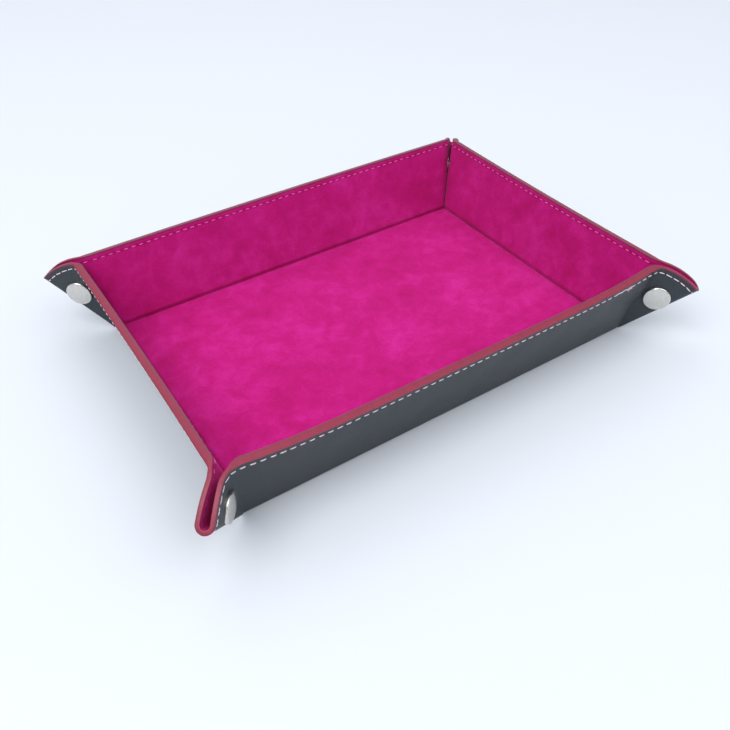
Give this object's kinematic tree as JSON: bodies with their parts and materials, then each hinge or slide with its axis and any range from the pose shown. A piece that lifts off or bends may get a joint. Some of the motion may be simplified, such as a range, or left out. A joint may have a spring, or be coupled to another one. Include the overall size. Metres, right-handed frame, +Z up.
{
  "type": "folding dice tray",
  "caption": "Rectangular folding dice tray: velvet-lined leather sheet with boards in its base and sloping walls, pinched into ears at the corners and held by press snaps; opens flat.",
  "frame": {"origin": "on the surface the tray stands on, under the centre of its base", "axes": "+X along the long walls, +Y from the front wall to the back wall, +Z up"},
  "size_m": [0.2472, 0.1832, 0.0392],
  "materials": {
    "leather": "fine-grained coated leather, satin",
    "velvet": "short-pile velvet with brushed nap",
    "board": "plain pressed board",
    "snap_metal": "satin nickel plate"
  },
  "bodies": {
    "base": {"base_leather": "leather", "base_board": "board", "base_velvet": "velvet"},
    "front_wall": {"front_wall_leather": "leather", "front_wall_board": "board", "front_wall_velvet": "velvet"},
    "back_wall": {"back_wall_leather": "leather", "back_wall_board": "board", "back_wall_velvet": "velvet"},
    "left_wall": {"left_wall_leather": "leather", "left_wall_board": "board", "left_wall_velvet": "velvet"},
    "right_wall": {"right_wall_leather": "leather", "right_wall_board": "board", "right_wall_velvet": "velvet"},
    "front_left_long_ear": {"front_left_long_ear_leather": "leather", "front_left_long_ear_velvet": "velvet", "front_left_long_ear_cap": "snap_metal", "front_left_socket": "snap_metal"},
    "front_left_fold": {"front_left_fold_leather": "leather"},
    "front_left_short_ear": {"front_left_short_ear_leather": "leather", "front_left_short_ear_velvet": "velvet", "front_left_short_ear_cap": "snap_metal", "front_left_stud": "snap_metal"},
    "front_right_long_ear": {"front_right_long_ear_leather": "leather", "front_right_long_ear_velvet": "velvet", "front_right_long_ear_cap": "snap_metal", "front_right_socket": "snap_metal"},
    "front_right_fold": {"front_right_fold_leather": "leather"},
    "front_right_short_ear": {"front_right_short_ear_leather": "leather", "front_right_short_ear_velvet": "velvet", "front_right_short_ear_cap": "snap_metal", "front_right_stud": "snap_metal"},
    "back_left_long_ear": {"back_left_long_ear_leather": "leather", "back_left_long_ear_velvet": "velvet", "back_left_long_ear_cap": "snap_metal", "back_left_socket": "snap_metal"},
    "back_left_fold": {"back_left_fold_leather": "leather"},
    "back_left_short_ear": {"back_left_short_ear_leather": "leather", "back_left_short_ear_velvet": "velvet", "back_left_short_ear_cap": "snap_metal", "back_left_stud": "snap_metal"},
    "back_right_long_ear": {"back_right_long_ear_leather": "leather", "back_right_long_ear_velvet": "velvet", "back_right_long_ear_cap": "snap_metal", "back_right_socket": "snap_metal"},
    "back_right_fold": {"back_right_fold_leather": "leather"},
    "back_right_short_ear": {"back_right_short_ear_leather": "leather", "back_right_short_ear_velvet": "velvet", "back_right_short_ear_cap": "snap_metal", "back_right_stud": "snap_metal"}
  },
  "joints": [
    {"name": "front_wall_fold", "type": "hinge", "parent": "base", "child": "front_wall", "pos_m": [0, -0.068, 0.0005], "axis": [1, 0, 0], "range_deg": [0, 75]},
    {"name": "back_wall_fold", "type": "hinge", "parent": "base", "child": "back_wall", "pos_m": [0, 0.068, 0.0005], "axis": [-1, 0, 0], "range_deg": [0, 75]},
    {"name": "left_wall_fold", "type": "hinge", "parent": "base", "child": "left_wall", "pos_m": [-0.1, 0, 0.0005], "axis": [0, -1, 0], "range_deg": [0, 75]},
    {"name": "right_wall_fold", "type": "hinge", "parent": "base", "child": "right_wall", "pos_m": [0.1, 0, 0.0005], "axis": [0, 1, 0], "range_deg": [0, 75]},
    {"name": "front_left_ear_crease", "type": "hinge", "parent": "front_wall", "child": "front_left_long_ear", "pos_m": [-0.1, -0.068, 0.0005], "axis": [0.1758, 0.2548, -0.9509], "range_deg": [0, 49.68]},
    {"name": "front_left_fold_long_side", "type": "hinge", "parent": "front_left_long_ear", "child": "front_left_fold", "pos_m": [-0.1, -0.068, 0.0005], "axis": [-0.4762, -0.5798, 0.6611], "range_deg": [0, 90.81]},
    {"name": "front_left_fold_short_side", "type": "hinge", "parent": "front_left_fold", "child": "front_left_short_ear", "pos_m": [-0.1, -0.068, 0.0005], "axis": [-0.5798, -0.4762, 0.6611], "range_deg": [0, 90.81]},
    {"name": "front_right_ear_crease", "type": "hinge", "parent": "front_wall", "child": "front_right_long_ear", "pos_m": [0.1, -0.068, 0.0005], "axis": [0.1758, -0.2548, 0.9509], "range_deg": [0, 49.68]},
    {"name": "front_right_fold_long_side", "type": "hinge", "parent": "front_right_long_ear", "child": "front_right_fold", "pos_m": [0.1, -0.068, 0.0005], "axis": [-0.4762, 0.5798, -0.6611], "range_deg": [0, 90.81]},
    {"name": "front_right_fold_short_side", "type": "hinge", "parent": "front_right_fold", "child": "front_right_short_ear", "pos_m": [0.1, -0.068, 0.0005], "axis": [-0.5798, 0.4762, -0.6611], "range_deg": [0, 90.81]},
    {"name": "back_left_ear_crease", "type": "hinge", "parent": "back_wall", "child": "back_left_long_ear", "pos_m": [-0.1, 0.068, 0.0005], "axis": [-0.1758, 0.2548, 0.9509], "range_deg": [0, 49.68]},
    {"name": "back_left_fold_long_side", "type": "hinge", "parent": "back_left_long_ear", "child": "back_left_fold", "pos_m": [-0.1, 0.068, 0.0005], "axis": [0.4762, -0.5798, -0.6611], "range_deg": [0, 90.81]},
    {"name": "back_left_fold_short_side", "type": "hinge", "parent": "back_left_fold", "child": "back_left_short_ear", "pos_m": [-0.1, 0.068, 0.0005], "axis": [0.5798, -0.4762, -0.6611], "range_deg": [0, 90.81]},
    {"name": "back_right_ear_crease", "type": "hinge", "parent": "back_wall", "child": "back_right_long_ear", "pos_m": [0.1, 0.068, 0.0005], "axis": [-0.1758, -0.2548, -0.9509], "range_deg": [0, 49.68]},
    {"name": "back_right_fold_long_side", "type": "hinge", "parent": "back_right_long_ear", "child": "back_right_fold", "pos_m": [0.1, 0.068, 0.0005], "axis": [0.4762, 0.5798, 0.6611], "range_deg": [0, 90.81]},
    {"name": "back_right_fold_short_side", "type": "hinge", "parent": "back_right_fold", "child": "back_right_short_ear", "pos_m": [0.1, 0.068, 0.0005], "axis": [0.5798, 0.4762, 0.6611], "range_deg": [0, 90.81]}
  ],
  "couplings": [
    {"joint": "back_wall_fold", "follows": "front_wall_fold", "ratio": 1},
    {"joint": "left_wall_fold", "follows": "front_wall_fold", "ratio": 1},
    {"joint": "right_wall_fold", "follows": "front_wall_fold", "ratio": 1},
    {"joint": "front_left_ear_crease", "follows": "front_wall_fold", "ratio": 0.66234},
    {"joint": "front_left_fold_long_side", "follows": "front_wall_fold", "ratio": 1.2108},
    {"joint": "front_left_fold_short_side", "follows": "front_wall_fold", "ratio": 1.2108},
    {"joint": "front_right_ear_crease", "follows": "front_wall_fold", "ratio": 0.66234},
    {"joint": "front_right_fold_long_side", "follows": "front_wall_fold", "ratio": 1.2108},
    {"joint": "front_right_fold_short_side", "follows": "front_wall_fold", "ratio": 1.2108},
    {"joint": "back_left_ear_crease", "follows": "front_wall_fold", "ratio": 0.66234},
    {"joint": "back_left_fold_long_side", "follows": "front_wall_fold", "ratio": 1.2108},
    {"joint": "back_left_fold_short_side", "follows": "front_wall_fold", "ratio": 1.2108},
    {"joint": "back_right_ear_crease", "follows": "front_wall_fold", "ratio": 0.66234},
    {"joint": "back_right_fold_long_side", "follows": "front_wall_fold", "ratio": 1.2108},
    {"joint": "back_right_fold_short_side", "follows": "front_wall_fold", "ratio": 1.2108}
  ]
}
